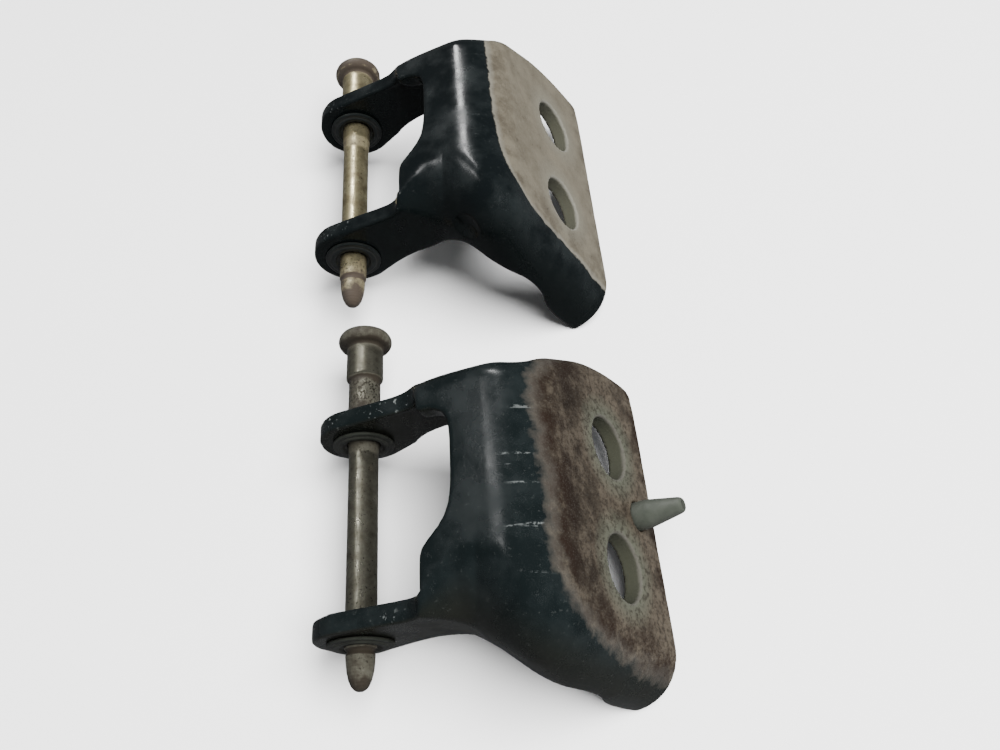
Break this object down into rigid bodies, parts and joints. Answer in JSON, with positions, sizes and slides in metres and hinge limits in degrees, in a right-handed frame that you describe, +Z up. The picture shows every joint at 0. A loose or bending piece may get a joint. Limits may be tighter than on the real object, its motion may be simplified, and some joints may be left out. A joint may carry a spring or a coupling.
{
  "type": "door hinge",
  "caption": "Pressed-steel door hinge leaves in line, each with bushed ears, a window by the pin, an angled bolt plate and a headed lift-out pin.",
  "frame": {"origin": "middle of the pair's outline, on the surface it lies on", "axes": "+Z up from the surface, +Y along both pins towards their heads, +X from the pins towards the bolt plates"},
  "size_m": [0.1008, 0.2164, 0.053],
  "materials": {
    "lower_paint": "semi-gloss black paint, worn to brown primer and rust on the bolt face",
    "upper_paint": "semi-gloss black paint, worn to bare grey-beige metal on the bolt face",
    "lower_pin_plating": "dull grey plating with pits",
    "upper_pin_plating": "yellowish zinc plating, rusted at the nose",
    "bush": "dark, painted over with the leaf",
    "dowel_primer": "flat pale grey-green primer"
  },
  "bodies": {
    "leaves": {"lower_bracket": "lower_paint", "lower_bush_bottom": "bush", "lower_bush_top": "bush", "lower_dowel": "dowel_primer", "upper_bracket": "upper_paint", "upper_bush_bottom": "bush", "upper_bush_top": "bush"},
    "lower_pin": {"lower_pin": "lower_pin_plating"},
    "upper_pin": {"upper_pin": "upper_pin_plating"}
  },
  "joints": [
    {"name": "lower_pin_slide", "type": "slide", "parent": "leaves", "child": "lower_pin", "axis": [0, 1, 0], "range_m": [-0.0136, 0.0024]},
    {"name": "upper_pin_slide", "type": "slide", "parent": "leaves", "child": "upper_pin", "axis": [0, 1, 0], "range_m": [-0.0071, 0.079]}
  ]
}
